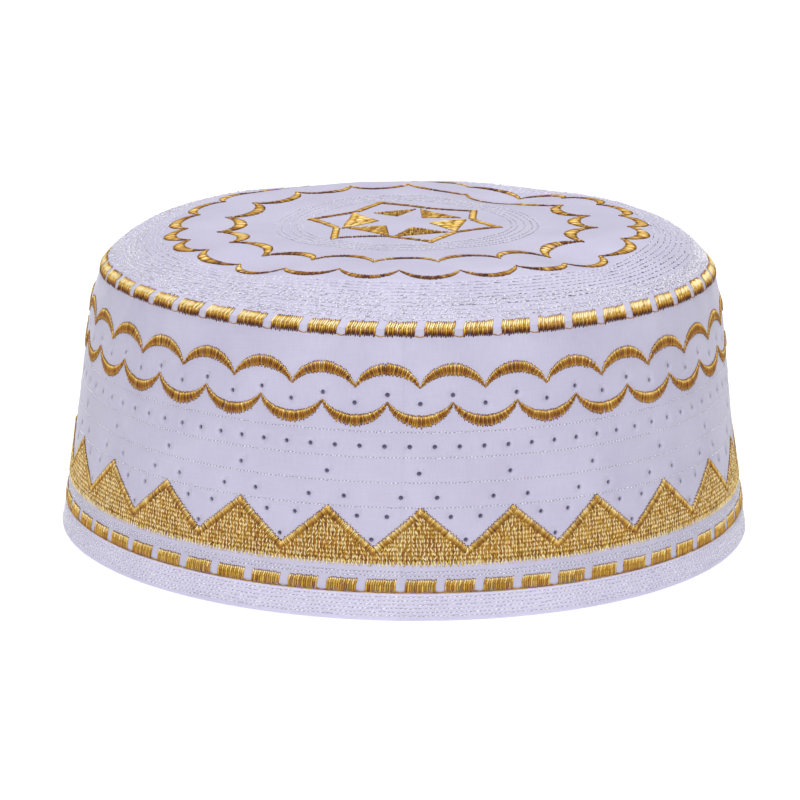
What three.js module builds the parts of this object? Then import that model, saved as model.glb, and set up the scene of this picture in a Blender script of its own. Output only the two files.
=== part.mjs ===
// Prayer cap (kufi): a stiff white quilted cotton cap with gold thread embroidery.
//
// Frame: millimetres, +Z up, origin on the floor at the middle of the head opening.
// The front of the cap faces -Y. An angle of 0 is the front, and it grows towards +X.
//
// The cap is one round wall of cloth in three pieces: a stitched hem band, the side
// band above it, and a flat crown whose rounded shoulder meets the side band at a seam.
// Gold embroidery lies on the cloth with a small clearance: two rings of dashes, two
// rings of scallops and a zigzag band on the side, and two rings of scallops and a
// six-pointed star with six gold triangles on the crown.

import * as THREE from 'three';

// Driving sizes of the cloth
const hem_radius = 95; // outside of the cap at the floor, for a head of about 58 cm
const seam_radius = 84.5; // outside of the cap where the crown meets the side band
const wall_height = 74.6; // floor to the crown seam
const crown_rise = 10; // crown seam to the flat top
const side_cloth = 2.2; // quilted side band
const hem_cloth = 3.0; // folded hem, thicker than the side band
const crown_cloth = 2.0; // quilted crown
const side_press = 1.6; // how far each side of the cap is pressed in at half height
const hollow_fade = 6.5; // width inside the crown's rim over which its hollows die out
const tuck_in = 2.1; // how far the shoulder is drawn in behind the cap's left side
const seam_sag = 1.9; // how far the seam sags behind both sides
const right_tuck = 0.35; // share of that behind the right side, where only the seam sags as much
const tuck_turn = 104; // degrees from the front to the middle of each tuck
const tuck_spread = 24; // degrees over which a tuck dies out
const tuck_depth = 13; // how far below the seam it starts
const hem_height = 7.4;
const hem_round = 0.9; // rounded lower edges of the hem

// Clearances
const seam_gap = 0.3; // between two pieces of cloth
const trim_gap = 0.3; // between cloth and the embroidery on it
const thread_relief = 0.5; // thickness of the embroidery

// Rings of dashes
const dash_height = 3.3;
const dash_gap = 2.35; // bare cloth between two dashes
const dash_slope = 0.3; // length of a dash's rounded end
const join_thread = 0.7; // height of the thread that joins the dashes
const upper_dash_count = 53;
const upper_dash_turn = 2.44; // degrees to the middle of one bare gap
const upper_dash_below_seam = 1.7; // lower edge of the ring, measured down from the seam
const lower_dash_count = 58;
const lower_dash_turn = -0.39;

// Rings of scallops on the side band
const scallop_count = 33;
const scallop_turn = 2.51; // degrees to one low point of the upper scallops
const scallop_reach = 5.9; // crest to point, along the outer edge
const crescent_width = 2.6; // widest part of a gold crescent
const crescent_tip = 0.8; // its width where two crescents meet
const upper_scallop_below_seam = 8.4; // crests of the upper ring, measured down from the seam
const scallop_rings_apart = 16.1; // those crests down to the lowest points of the lower ring

// Zigzag band
const zigzag_count = 24;
const zigzag_turn = 2.74; // degrees to one peak
const zigzag_above_hem = 7.4; // hem up to the straight lower edge
const zigzag_valley_rise = 4.5; // lower edge up to the valleys
const zigzag_peak_rise = 14.9; // lower edge up to the peaks

// Scallops on the crown
const outer_lobe_count = 24;
const outer_lobe_turn = -1.8; // degrees to one point
const outer_lobe_points = 60.8; // radius of the inward points
const outer_lobe_crest = 66.5; // radius of the outward crests
const inner_lobe_count = 19;
const inner_lobe_turn = -9.7;
const inner_lobe_points = 52.0; // radius of the outward points
const inner_lobe_crest = 44.4; // radius of the inward crests

// Star on the crown
const star_points = 6;
const star_turn = 195.8; // degrees to one tip
const star_off_x = -0.8; // the star sits a little off the middle
const star_tip = 27.7;
const star_valley = 19.6;
const star_line = 2.0; // width of the gold outline
const triangle_clearance = 0.45; // outline to the gold triangles inside it
const triangle_inner_corner = 7.0; // radius of each triangle's corner nearest the middle

// Heights above the floor that follow from these sizes
const upper_dash_low = wall_height - upper_dash_below_seam;
const lower_dash_low = hem_height + seam_gap;
const upper_scallop_crest = wall_height - upper_scallop_below_seam;
const lower_scallop_foot = upper_scallop_crest - scallop_rings_apart;
const zigzag_base = hem_height + zigzag_above_hem;
const zigzag_valley = zigzag_base + zigzag_valley_rise;
const zigzag_peak = zigzag_base + zigzag_peak_rise;

// Facets
const wall_steps = 64; // round the cloth
const outer_rows = 5; // up the side band's outer face
const inner_rows = 3; // up its inner face
const zigzag_steps = 4; // per zigzag
const lobe_steps = 4; // per scallop

// How the wall leans in from the floor to the seam, as shares of the whole lean.
// With h the share of the wall height, the lean is a h + b h^2 + c h^3.
const wall_lean = { a: 0.779, b: -0.323, c: 0.544 };
const press_focus = 8; // power of the sine that keeps the press to the two sides
const tuck_start = 0.72; // share of the seam radius where the tucks start on the crown
const sag_start = 0.93; // and where the seam's sag starts

// Crown profile, from the seam to the middle: out is the share of the seam radius,
// up the share of the crown's rise. The underside has only the rows marked under.
const crown_profile = [
  { out: 1.0, up: 0.0, under: true },
  { out: 0.99, up: 0.11 },
  { out: 0.973, up: 0.21 },
  { out: 0.945, up: 0.37, under: true },
  { out: 0.911, up: 0.57, under: true },
  { out: 0.866, up: 0.71 },
  { out: 0.81, up: 0.83, under: true },
  { out: 0.765, up: 0.91 },
  { out: 0.72, up: 0.965 },
  { out: 0.66, up: 0.99, under: true },
  { out: 0.6, up: 1.0 },
  { out: 0.53, up: 1.0 },
  { out: 0.42, up: 1.0, under: true },
  { out: 0.25, up: 1.0 },
  { out: 0.0, up: 1.0, under: true },
];

// Soft hollows in the crown: places and spread are shares of the seam radius,
// depth is a share of the crown's rise.
const crown_hollows = [
  { x: 0.335, y: 0.576, spread: 0.133, depth: 0.46 },
  { x: 0.531, y: -0.412, spread: 0.105, depth: 0.28 },
  { x: -0.76, y: 0.013, spread: 0.4, depth: 0.35 },
  { x: -0.466, y: -0.523, spread: 0.102, depth: 0.25 },
  { x: 0.488, y: 0.21, spread: 0.25, depth: 0.15 },
  { x: -0.244, y: 1.063, spread: 0.31, depth: 0.33 },
];

const cotton = () => new THREE.MeshStandardMaterial({ color: 0xd6d0e2, roughness: 0.78, metalness: 0 });
const gold = () => new THREE.MeshStandardMaterial({ color: 0xbf9a3c, roughness: 0.42, metalness: 0.25 });

const turn = 2 * Math.PI;
const radians = (degrees) => (degrees * turn) / 360;

// Outside radius of the wall at a height. The two sides are pressed in a little between
// the floor and the seam, and the front and back aren't.
function wall_radius(z, angle = 0) {
  const h = z / wall_height;
  const lean = wall_lean.a * h + wall_lean.b * h ** 2 + wall_lean.c * h ** 3;
  const press = side_press * Math.max(0, Math.sin(Math.PI * h)) * Math.sin(angle) ** press_focus;
  return hem_radius - (hem_radius - seam_radius) * lean - press;
}

// Share of the crown's rise at a share of the seam radius, straight between the rows
function crown_up(out) {
  const row = crown_profile.findIndex((p) => p.out <= out);
  if (row <= 0) return crown_profile[0].up;
  const [a, b] = [crown_profile[row - 1], crown_profile[row]];
  return THREE.MathUtils.mapLinear(out, a.out, b.out, a.up, b.up);
}

// Depth of the soft hollows at a point of the crown
function hollow_depth(x, y) {
  const rim = seam_radius - crown_cloth;
  const fade = 1 - THREE.MathUtils.smoothstep(Math.hypot(x, y), rim - hollow_fade, rim);
  const share = crown_hollows.reduce((sum, h) => {
    const away = Math.hypot(x / seam_radius - h.x, y / seam_radius - h.y);
    return sum + h.depth * Math.exp(-(away ** 2) / (2 * h.spread ** 2));
  }, 0);
  return crown_rise * share * fade;
}

// Height of the crown's outer face at a point
function crown_height(x, y) {
  const out = Math.hypot(x, y) / seam_radius;
  return wall_height + crown_rise * crown_up(out) - hollow_depth(x, y);
}

// A place of the cap, radius and height, with the tucks and the seam's sag behind its two sides:
// strongest at the seam, dying out down the wall, towards the middle of the crown and round the cap
function tucked([radius, z], angle) {
  const side = (middle) => {
    const away = Math.abs(THREE.MathUtils.euclideanModulo(angle - middle + turn / 2, turn) - turn / 2);
    return Math.exp(-((away / radians(tuck_spread)) ** 2));
  };
  const [left, right] = [side(-radians(tuck_turn)), side(radians(tuck_turn))];
  const up = THREE.MathUtils.smoothstep(z, wall_height - tuck_depth, wall_height);
  const out = THREE.MathUtils.smoothstep(radius, tuck_start * seam_radius, seam_radius);
  const rim = THREE.MathUtils.smoothstep(radius, sag_start * seam_radius, seam_radius);
  return [radius - tuck_in * (left + right_tuck * right) * up * out, z - seam_sag * (left + right) * up * rim];
}

// Angles evenly spread round the cap
function even_angles(count, start = 0) {
  return Array.from({ length: count }, (_, i) => start + (i * turn) / count);
}

// A closed solid that runs round a centre. It has one section at each angle: a loop of
// [radius, height] pairs, up the outer face and down the inner one. With from_axis the
// section starts and ends on the axis instead of closing on itself.
function round_solid(angles, section_at, { from_axis = false, centre = [0, 0] } = {}) {
  const loops = angles.map(section_at);
  const size = loops[0].length;
  const rows = from_axis ? size : size + 1;
  const blank = Array.from({ length: rows }, (_, i) => new THREE.Vector2(1, i));
  const solid = new THREE.LatheGeometry(blank, angles.length);
  const spots = solid.attributes.position;
  for (let i = 0; i <= angles.length; i += 1) {
    const angle = angles[i % angles.length];
    const loop = loops[i % angles.length];
    for (let j = 0; j < rows; j += 1) {
      const [radius, height] = tucked(loop[j % size], angle);
      const x = centre[0] + radius * Math.sin(angle);
      const y = centre[1] - radius * Math.cos(angle);
      spots.setXYZ(i * rows + j, x, y, height);
    }
  }
  solid.computeVertexNormals();
  return solid;
}

// Folded hem: a flat foot with rounded edges, as wide as the folded cloth
function hem_band() {
  const corner = hem_round * Math.SQRT1_2;
  const section = (angle) => [
    [hem_radius - hem_round, 0],
    [hem_radius - hem_round + corner, hem_round - corner],
    [wall_radius(hem_round, angle), hem_round],
    [wall_radius(hem_height, angle), hem_height],
    [wall_radius(hem_height, angle) - hem_cloth, hem_height],
    [hem_radius - hem_cloth, hem_round],
    [hem_radius - hem_cloth + hem_round, 0],
  ];
  return round_solid(even_angles(wall_steps), section);
}

// Side band between the hem and the crown seam
function side_band() {
  const low = hem_height + seam_gap;
  const high = wall_height - seam_gap;
  const face = (angle, steps, inset) =>
    Array.from({ length: steps + 1 }, (_, i) => {
      const z = low + ((high - low) * i) / steps;
      return [wall_radius(z, angle) - inset, z];
    });
  const section = (angle) => [
    ...face(angle, outer_rows, 0),
    ...face(angle, inner_rows, side_cloth).reverse(),
  ];
  return round_solid(even_angles(wall_steps), section);
}

// Crown with its rounded shoulder and soft hollows. Its underside follows the outer face
// one cloth thickness inside it.
function crown() {
  const outer = crown_profile.map((p) => [p.out * seam_radius, wall_height + p.up * crown_rise]);
  const under_rows = crown_profile.flatMap((p, row) => (p.under ? [row] : [])).reverse();
  const under = under_rows.map((row) => {
    const [r, z] = outer[row];
    if (row === 0) return [r - crown_cloth, z];
    if (row === outer.length - 1) return [r, z - crown_cloth];
    const [before, after] = [outer[row - 1], outer[row + 1]];
    const along = new THREE.Vector2(before[0] - after[0], before[1] - after[1]).normalize();
    return [r + along.y * crown_cloth, z - along.x * crown_cloth];
  });
  const section = (angle) =>
    [...under, ...outer].map(([r, z]) => [r, z - hollow_depth(r * Math.sin(angle), -r * Math.cos(angle))]);
  return round_solid(even_angles(wall_steps), section, { from_axis: true });
}

// Embroidery on the wall between two heights, which may change round the cap
function wall_trim(angles, low_at, high_at) {
  const section = (angle) => {
    const [low, high] = [low_at(angle), high_at(angle)];
    const inner = (z) => wall_radius(z, angle) + trim_gap;
    return [
      [inner(low) + thread_relief, low],
      [inner(high) + thread_relief, high],
      [inner(high), high],
      [inner(low), low],
    ];
  };
  return round_solid(angles, section);
}

// Embroidery on the crown between two radii, which may change round its centre
function crown_trim(angles, inner_at, outer_at, centre = [0, 0]) {
  const section = (angle) => {
    const level = (r) => {
      const x = centre[0] + r * Math.sin(angle);
      const y = centre[1] - r * Math.cos(angle);
      return crown_height(x, y) + trim_gap;
    };
    const [inner, outer] = [inner_at(angle), outer_at(angle)];
    return [
      [outer, level(outer)],
      [outer, level(outer) + thread_relief],
      [inner, level(inner) + thread_relief],
      [inner, level(inner)],
    ];
  };
  return round_solid(angles, section, { centre });
}

// Place inside one repeat: 0 at its marked angle, 1 half a repeat away, then back to 0
function half_turns(angle, count, marked) {
  const place = ((((angle - marked) * count) / turn) % 1 + 1) % 1;
  return 1 - Math.abs(1 - 2 * place);
}

// Ring of dashes: full height along a dash, a thin joining thread between two dashes
function dash_ring(low, count, turned) {
  const pitch = (turn * wall_radius(low)) / count;
  const marked = radians(turned);
  const gap_share = dash_gap / pitch;
  const slope_share = dash_slope / pitch;
  const step = turn / count;
  const angles = [];
  const tall = new Set();
  for (let i = 0; i < count; i += 1) {
    const middle = marked + i * step;
    angles.push(middle + (gap_share / 2) * step);
    angles.push(middle + (gap_share / 2 + slope_share) * step);
    angles.push(middle + (1 - gap_share / 2 - slope_share) * step);
    angles.push(middle + (1 - gap_share / 2) * step);
    tall.add(angles[angles.length - 3]);
    tall.add(angles[angles.length - 2]);
  }
  const high = (angle) => low + (tall.has(angle) ? dash_height : join_thread);
  return wall_trim(angles, () => low, high);
}

// Fall of a round arch at a share of its half width
function arch_fall(share, half_width, rise) {
  const bend = (half_width ** 2 + rise ** 2) / (2 * rise);
  return bend - Math.sqrt(bend ** 2 - (share * half_width) ** 2);
}

// Upper scallops stand as arches, and lower ones hang as bowls half a repeat further on
function upper_scallops() {
  const marked = radians(scallop_turn);
  const half_width = (Math.PI * wall_radius(upper_scallop_crest)) / scallop_count;
  const from_crest = (angle) => 1 - half_turns(angle, scallop_count, marked);
  const inner_rise = scallop_reach - crescent_width + crescent_tip;
  const high = (angle) => upper_scallop_crest - arch_fall(from_crest(angle), half_width, scallop_reach);
  const low = (angle) =>
    upper_scallop_crest - crescent_width - arch_fall(from_crest(angle), half_width, inner_rise);
  return wall_trim(even_angles(scallop_count * lobe_steps, marked), low, high);
}

function lower_scallops() {
  const marked = radians(scallop_turn);
  const half_width = (Math.PI * wall_radius(lower_scallop_foot)) / scallop_count;
  const from_foot = (angle) => half_turns(angle, scallop_count, marked);
  const inner_rise = scallop_reach - crescent_width + crescent_tip;
  const low = (angle) => lower_scallop_foot + arch_fall(from_foot(angle), half_width, scallop_reach);
  const high = (angle) =>
    lower_scallop_foot + crescent_width + arch_fall(from_foot(angle), half_width, inner_rise);
  return wall_trim(even_angles(scallop_count * lobe_steps, marked), low, high);
}

// Row of gold triangles on one straight base
function zigzag_band() {
  const marked = radians(zigzag_turn);
  const fall = zigzag_peak - zigzag_valley;
  const high = (angle) => zigzag_peak - fall * half_turns(angle, zigzag_count, marked);
  return wall_trim(even_angles(zigzag_count * zigzag_steps, marked), () => zigzag_base, high);
}

// Scallops on the crown: side is 1 where the arches swell outwards and -1 where inwards
function crown_scallops(count, turned, points, crest, side) {
  const marked = radians(turned);
  const half_width = (Math.PI * crest) / count;
  const reach = Math.abs(crest - points) + crescent_tip / 2;
  const inner_reach = reach - crescent_width + crescent_tip;
  const from_crest = (angle) => 1 - half_turns(angle, count, marked);
  const far_edge = (angle) => crest - side * arch_fall(from_crest(angle), half_width, reach);
  const near_edge = (angle) =>
    crest - side * (crescent_width + arch_fall(from_crest(angle), half_width, inner_reach));
  const [inner, outer] = side > 0 ? [near_edge, far_edge] : [far_edge, near_edge];
  return crown_trim(even_angles(count * lobe_steps, marked), inner, outer);
}

// Radii of the star outline's inner corners, one line width inside the outer ones
function star_inner_corners() {
  const half = Math.PI / star_points;
  const edge = new THREE.Vector2(
    star_tip - star_valley * Math.cos(half),
    star_valley * Math.sin(half),
  );
  const tip_angle = Math.atan2(edge.y, edge.x);
  const tip = star_tip - star_line / Math.sin(tip_angle);
  const valley = star_valley - star_line / Math.sin(tip_angle + half);
  return { tip, valley };
}

function star_outline() {
  const corners = star_inner_corners();
  const marked = radians(star_turn);
  const angles = even_angles(2 * star_points, marked);
  const at_tip = (angle) => half_turns(angle, star_points, marked) < 0.5;
  const inner = (angle) => (at_tip(angle) ? corners.tip : corners.valley);
  const outer = (angle) => (at_tip(angle) ? star_tip : star_valley);
  return crown_trim(angles, inner, outer, [star_off_x, 0]);
}

// Gold triangle inside one point of the star: two corners beside the outline's valleys
// and one towards the middle, so that six of them leave a white star between them
function star_triangle(index) {
  const tip_angle = radians(star_turn) + (index * turn) / star_points;
  const reach = star_inner_corners().valley - triangle_clearance;
  const spread = Math.PI / star_points - triangle_clearance / reach;
  const corner = (radius, angle) =>
    new THREE.Vector2(star_off_x + radius * Math.sin(angle), -radius * Math.cos(angle));
  const outline = new THREE.Shape([
    corner(triangle_inner_corner, tip_angle),
    corner(reach, tip_angle - spread),
    corner(reach, tip_angle + spread),
  ]);
  const solid = new THREE.ExtrudeGeometry(outline, { depth: thread_relief, bevelEnabled: false });
  const spots = solid.attributes.position;
  for (let i = 0; i < spots.count; i += 1) {
    const ground = crown_height(spots.getX(i), spots.getY(i)) + trim_gap;
    spots.setZ(i, spots.getZ(i) + ground);
  }
  return solid;
}

const cap = new THREE.Group();

function add(name, geometry, material) {
  const piece = new THREE.Mesh(geometry, material);
  piece.name = name;
  cap.add(piece);
}

add('hem_band', hem_band(), cotton());
add('side_band', side_band(), cotton());
add('crown', crown(), cotton());

add('upper_dash_ring', dash_ring(upper_dash_low, upper_dash_count, upper_dash_turn), gold());
add('lower_dash_ring', dash_ring(lower_dash_low, lower_dash_count, lower_dash_turn), gold());
add('upper_scallop_ring', upper_scallops(), gold());
add('lower_scallop_ring', lower_scallops(), gold());
add('zigzag_band', zigzag_band(), gold());

const outer_lobes = crown_scallops(outer_lobe_count, outer_lobe_turn, outer_lobe_points, outer_lobe_crest, 1);
const inner_lobes = crown_scallops(inner_lobe_count, inner_lobe_turn, inner_lobe_points, inner_lobe_crest, -1);
add('crown_outer_scallop_ring', outer_lobes, gold());
add('crown_inner_scallop_ring', inner_lobes, gold());
add('star_outline', star_outline(), gold());
for (let i = 0; i < star_points; i += 1) {
  add(`star_triangle_${i + 1}`, star_triangle(i), gold());
}

export default cap;
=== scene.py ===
# %% [markdown]
# # A white prayer cap with gold embroidery
# The real cap is stiff quilted cotton in three parts: a folded hem, a side band that leans in, and a
# flat crown with a rounded shoulder. Gold thread lies on it in rings of dashes and scallops, a band
# of triangles and a star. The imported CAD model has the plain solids. Here each of them is stood for
# by a finer piece in the same place: cloth with its eyelets and stitched rows, and gold made of
# single threads, because the eye reads this cap by its threads.

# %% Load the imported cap
import math

import bpy
import numpy as np
from mathutils import Matrix


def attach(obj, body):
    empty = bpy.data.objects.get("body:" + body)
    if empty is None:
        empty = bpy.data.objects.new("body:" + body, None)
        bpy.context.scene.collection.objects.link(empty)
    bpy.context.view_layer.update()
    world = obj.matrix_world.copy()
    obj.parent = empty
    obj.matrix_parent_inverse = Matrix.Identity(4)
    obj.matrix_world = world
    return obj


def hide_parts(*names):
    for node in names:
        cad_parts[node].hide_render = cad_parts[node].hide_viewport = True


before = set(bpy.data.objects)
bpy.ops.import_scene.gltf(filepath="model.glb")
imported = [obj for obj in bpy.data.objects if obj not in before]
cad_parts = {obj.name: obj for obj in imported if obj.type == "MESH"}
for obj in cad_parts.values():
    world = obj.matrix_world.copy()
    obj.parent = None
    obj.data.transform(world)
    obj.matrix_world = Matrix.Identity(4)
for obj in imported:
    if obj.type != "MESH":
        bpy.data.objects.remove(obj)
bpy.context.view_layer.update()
mm = 0.001
chance = np.random.default_rng(33)
print("CAD nodes:", ", ".join(sorted(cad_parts)))

# %% [markdown]
# ## Camera
# The photograph was taken from a little above the cap with a long lens. A camera can be placed by
# eye, but here it was solved from round features of known shape, such as the seam and the hem. It
# stands in front of the cap, looks at one point of the cap's axis, and is then turned by the small
# angles that bring that point to its place in the picture.

# %% Camera as in the photograph
photo_side = 800
focal_pixels = 4063
aim_height = 42.75 * mm
aim_pixel = (405.4, 367.2)
camera_distance = 1122.4 * mm
camera_rise = math.radians(14.56)
camera_roll = math.radians(0.64)

camera_data = bpy.data.cameras.new("photo_camera")
camera_data.sensor_width = 36
camera_data.lens = focal_pixels / photo_side * camera_data.sensor_width
camera_data.clip_end = 50
camera = bpy.data.objects.new("photo_camera", camera_data)
bpy.context.scene.collection.objects.link(camera)
camera_place = (
    0,
    -camera_distance * math.cos(camera_rise),
    aim_height + camera_distance * math.sin(camera_rise),
)
look_left = math.atan((aim_pixel[0] - photo_side / 2) / focal_pixels)
look_down = camera_rise + math.atan((photo_side / 2 - aim_pixel[1]) / focal_pixels)
camera.matrix_world = (
    Matrix.Translation(camera_place)
    @ Matrix.Rotation(look_left, 4, "Z")
    @ Matrix.Rotation(math.pi / 2 - look_down, 4, "X")
    @ Matrix.Rotation(camera_roll, 4, "Z")
)
bpy.context.scene.camera = camera
print(f"lens {camera_data.lens:.1f} mm, {math.degrees(look_down):.2f} degrees down")

# %% [markdown]
# ## The shape of the cloth
# Every piece lies on the same two curved surfaces, so they are written once as functions. The side
# is a radius for each height and angle, and the crown is a height for each place over the floor.
# An angle of 0 is the front, and it grows towards +X. These sizes are those of the CAD model.

# %% Sizes of the cap
hem_radius = 95.0 * mm
seam_radius = 84.5 * mm
wall_height = 74.6 * mm
crown_rise = 10.0 * mm
side_cloth_thickness = 2.2 * mm
hem_cloth_thickness = 3.0 * mm
crown_cloth_thickness = 2.0 * mm
side_press = 1.6 * mm
press_focus = 8
hem_height = 7.4 * mm
hem_round = 0.9 * mm
hollow_fade = 6.5 * mm
full_turn = 2 * math.pi

# how the wall leans in: its height's share to the first, second and third power
wall_lean = (0.779, -0.323, 0.544)

# the shoulder is drawn in behind both sides, less behind the right one, and the seam sags there
tuck_in = 2.1 * mm
seam_sag = 1.9 * mm
right_tuck = 0.35
tuck_turn = math.radians(104)
tuck_spread = math.radians(24)
tuck_depth = 13 * mm
tuck_start = 0.72
sag_start = 0.93

# the crown's profile: share of the seam radius, share of the crown's rise
crown_profile = np.array([
    (1.0, 0.0), (0.99, 0.11), (0.973, 0.21), (0.945, 0.37), (0.911, 0.57),
    (0.866, 0.71), (0.81, 0.83), (0.765, 0.91), (0.72, 0.965), (0.66, 0.99),
    (0.6, 1.0), (0.53, 1.0), (0.42, 1.0), (0.25, 1.0), (0.0, 1.0),
])
# soft hollows of the crown: x, y, spread, as shares of the seam radius, and depth as one of the rise
crown_hollows = np.array([
    (0.335, 0.576, 0.133, 0.46),
    (0.531, -0.412, 0.105, 0.28),
    (-0.76, 0.013, 0.4, 0.35),
    (-0.466, -0.523, 0.102, 0.25),
    (0.488, 0.21, 0.25, 0.15),
    (-0.244, 1.063, 0.31, 0.33),
])
print(len(crown_profile), "points of the profile,", len(crown_hollows), "hollows")


# %% The two surfaces
def side_by_side(*values):
    """Arrays as the columns of one. A single number counts for every row."""
    return np.stack(np.broadcast_arrays(*values), axis=-1)


def bell(away, width, power=2):
    """1 in the middle, falling off with the distance over the width, raised to that power."""
    return np.exp(-((away / width) ** power))


def smooth_step(value, low, high):
    """From 0 at the low mark to 1 at the high one, level at both."""
    share = np.clip((value - low) / (high - low), 0, 1)
    return share * share * (3 - 2 * share)


def turn_from(middle, angle):
    """The turn from a middle angle to another, at most half a turn either way."""
    return (angle - middle + math.pi) % full_turn - math.pi


def smooth_profile(samples=1201, blur=14):
    """The profile's straight stretches, read at many even shares and blurred by a bell curve."""
    out = np.linspace(0, 1, samples)
    up = np.interp(out, crown_profile[::-1, 0], crown_profile[::-1, 1])
    reach = np.arange(-3 * blur, 3 * blur + 1)
    weights = np.exp(-(reach / blur) ** 2 / 2)
    padded = np.pad(up, 3 * blur, mode="reflect", reflect_type="odd")
    return out, np.convolve(padded, weights / weights.sum(), mode="valid")


profile_out, profile_up = smooth_profile()
# the samples of the shoulder, from the rim inwards to where the crown is flat
shoulder = slice(None, 700, -1)


def wall_radius(z, angle):
    """Hem radius, less a cubic lean up the wall, less a press that is deepest half way up the sides."""
    h = z / wall_height
    lean = wall_lean[0] * h + wall_lean[1] * h**2 + wall_lean[2] * h**3
    press = side_press * np.clip(np.sin(np.pi * h), 0, None) * np.sin(angle) ** press_focus
    return hem_radius - (hem_radius - seam_radius) * lean - press


def side_radius(z, angle):
    """Wall radius up to the seam, and above it the radius where the shoulder reaches that height."""
    up = (z - wall_height) / crown_rise
    over = seam_radius * np.interp(up, profile_up[shoulder], profile_out[shoulder])
    return np.where(z > wall_height, over, wall_radius(z, angle))


def crown_height(x, y):
    """Seam height, plus the profile's rise, less bell-shaped hollows that die out at the rim."""
    reach = np.hypot(x, y)
    fade = smooth_step(seam_radius - crown_cloth_thickness - reach, 0, hollow_fade)
    hollow = 0
    for place_x, place_y, spread, depth in crown_hollows:
        away = (x / seam_radius - place_x) ** 2 + (y / seam_radius - place_y) ** 2
        hollow = hollow + depth * np.exp(-away / (2 * spread**2))
    up = np.interp(reach / seam_radius, profile_out, profile_up)
    return wall_height + crown_rise * (up - hollow * fade)


def tucked(points):
    """The same points, drawn in and down behind the cap's sides: a bell round the cap, times a
    smooth step up the wall, times a smooth step from the crown's middle to its rim."""
    x, y, z = points[:, 0], points[:, 1], points[:, 2]
    radius = np.hypot(x, y)
    angle = np.arctan2(x, -y)
    left, right = [bell(turn_from(side * tuck_turn, angle), tuck_spread) for side in (-1, 1)]
    up = smooth_step(z, wall_height - tuck_depth, wall_height)
    out = smooth_step(radius, tuck_start * seam_radius, seam_radius)
    rim = smooth_step(radius, sag_start * seam_radius, seam_radius)
    shrink = 1 - tuck_in * (left + right_tuck * right) * up * out / np.maximum(radius, mm)
    return side_by_side(x * shrink, y * shrink, z - seam_sag * (left + right) * up * rim)


print(f"seam {seam_radius / mm:.1f} mm, middle of the crown {crown_height(0.0, 0.0) / mm:.1f} mm high")

# %% [markdown]
# ## Quilting and small waves
# A stitched row pulls the cloth down into a shallow groove, and cloth is never quite flat between
# its rows. Both could be painted as bump, but real dips catch the light at any distance. They are
# a relief that is added along the surface's normal, so cloth and threads follow it alike.

# %% Relief of the quilted cloth
fine_rows = np.array([48.8, 42.3, 35.9, 29.5]) * mm
band_rows = np.array([12.9, 11.9]) * mm
hem_rows = np.array([6.4, 5.4, 4.4, 3.4, 2.4, 1.5]) * mm
star_rows = np.array([28.6, 30.2, 32.2, 34.3, 35.9]) * mm
rim_rows = np.array([67.6, 69.2, 70.8, 72.4, 73.9, 75.4, 76.8, 78.1, 79.3, 80.5, 81.6]) * mm

# depth and width of each kind of groove
fine_groove = (0.2 * mm, 0.7 * mm)
band_groove = (0.16 * mm, 0.45 * mm)
hem_groove = (0.22 * mm, 0.42 * mm)
star_groove = (0.2 * mm, 0.6 * mm)
rim_groove = (0.4 * mm, 0.46 * mm)

# length and seed of the soft waves on the side and on the crown
side_waves = (34 * mm, 5)
crown_waves = (21 * mm, 9)

upper_dash_count = 53
gather_height = 70.5 * mm
crease_height = 41 * mm
crease_place = 18.5 * mm
back_turn = math.radians(194)
back_spread = math.radians(30)
back_swell_reach = 56 * mm
back_dip_reach = 64.5 * mm
rim_puff_reach = 80.5 * mm


def grooves(place, rows, depth, width):
    """A dip of that depth at each row, as a bell curve of that width."""
    return -depth * sum(bell(place - row, width) for row in rows)


def waves(across, along, length, seed):
    """Six crossing sine waves of about one length, with fixed chance directions, added up."""
    pick = np.random.default_rng(seed)
    turns, shifts, scales = pick.uniform(0, np.pi, 6), pick.uniform(0, 6.28, 6), pick.uniform(0.7, 1.5, 6)
    total = 0
    for turned, shift, scale in zip(turns, shifts, scales):
        way = across * np.cos(turned) + along * np.sin(turned)
        total = total + np.sin(full_turn * way / (length * scale) + shift)
    return total / 6


def side_relief(angle, z):
    """Grooves at the stitched rows, soft waves, gathers under the upper dashes and one faint crease."""
    quilted = grooves(z, fine_rows, *fine_groove) + grooves(z, band_rows, *band_groove)
    hem = grooves(z, hem_rows, *hem_groove)
    slow = waves(np.sin(angle) * hem_radius, z + np.cos(angle) * hem_radius, *side_waves)
    gather = 0.14 * mm * bell(z - gather_height, 3 * mm)
    gather = gather * np.sin(upper_dash_count * angle + 2 * np.sin(7 * angle))
    crease = -0.3 * mm * bell(z - crease_height, 7 * mm, 4)
    crease = crease * bell(angle * hem_radius - crease_place, 0.9 * mm)
    seam_fade = 1 - smooth_step(z, wall_height - 3 * mm, wall_height)
    return (quilted + hem + 0.22 * mm * slow + gather + crease) * seam_fade


def crown_relief(x, y):
    """Grooves round the star and round the rim, and soft waves. At the back a low swell stands
    before a dip, so that the rows beyond it are hidden from the front."""
    reach = np.hypot(x, y)
    turned = np.arctan2(x, -y)
    away = (turned - back_turn) % full_turn
    back = bell(np.minimum(away, full_turn - away), back_spread, 4)
    swell = 0.35 * mm * bell(reach - back_swell_reach, 3 * mm)
    dip = -0.9 * mm * bell(reach - back_dip_reach, 4.5 * mm)
    puff = 0.5 * mm * bell(reach - rim_puff_reach, 2 * mm) * np.sin(turned / 2) ** 2
    rings = grooves(reach, star_rows, *star_groove) + grooves(reach, rim_rows, *rim_groove)
    seam_fade = 1 - smooth_step(reach, seam_radius - 2 * mm, seam_radius)
    return (rings + puff + back * (swell + dip) + 0.2 * mm * waves(x, y, *crown_waves)) * seam_fade


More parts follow.
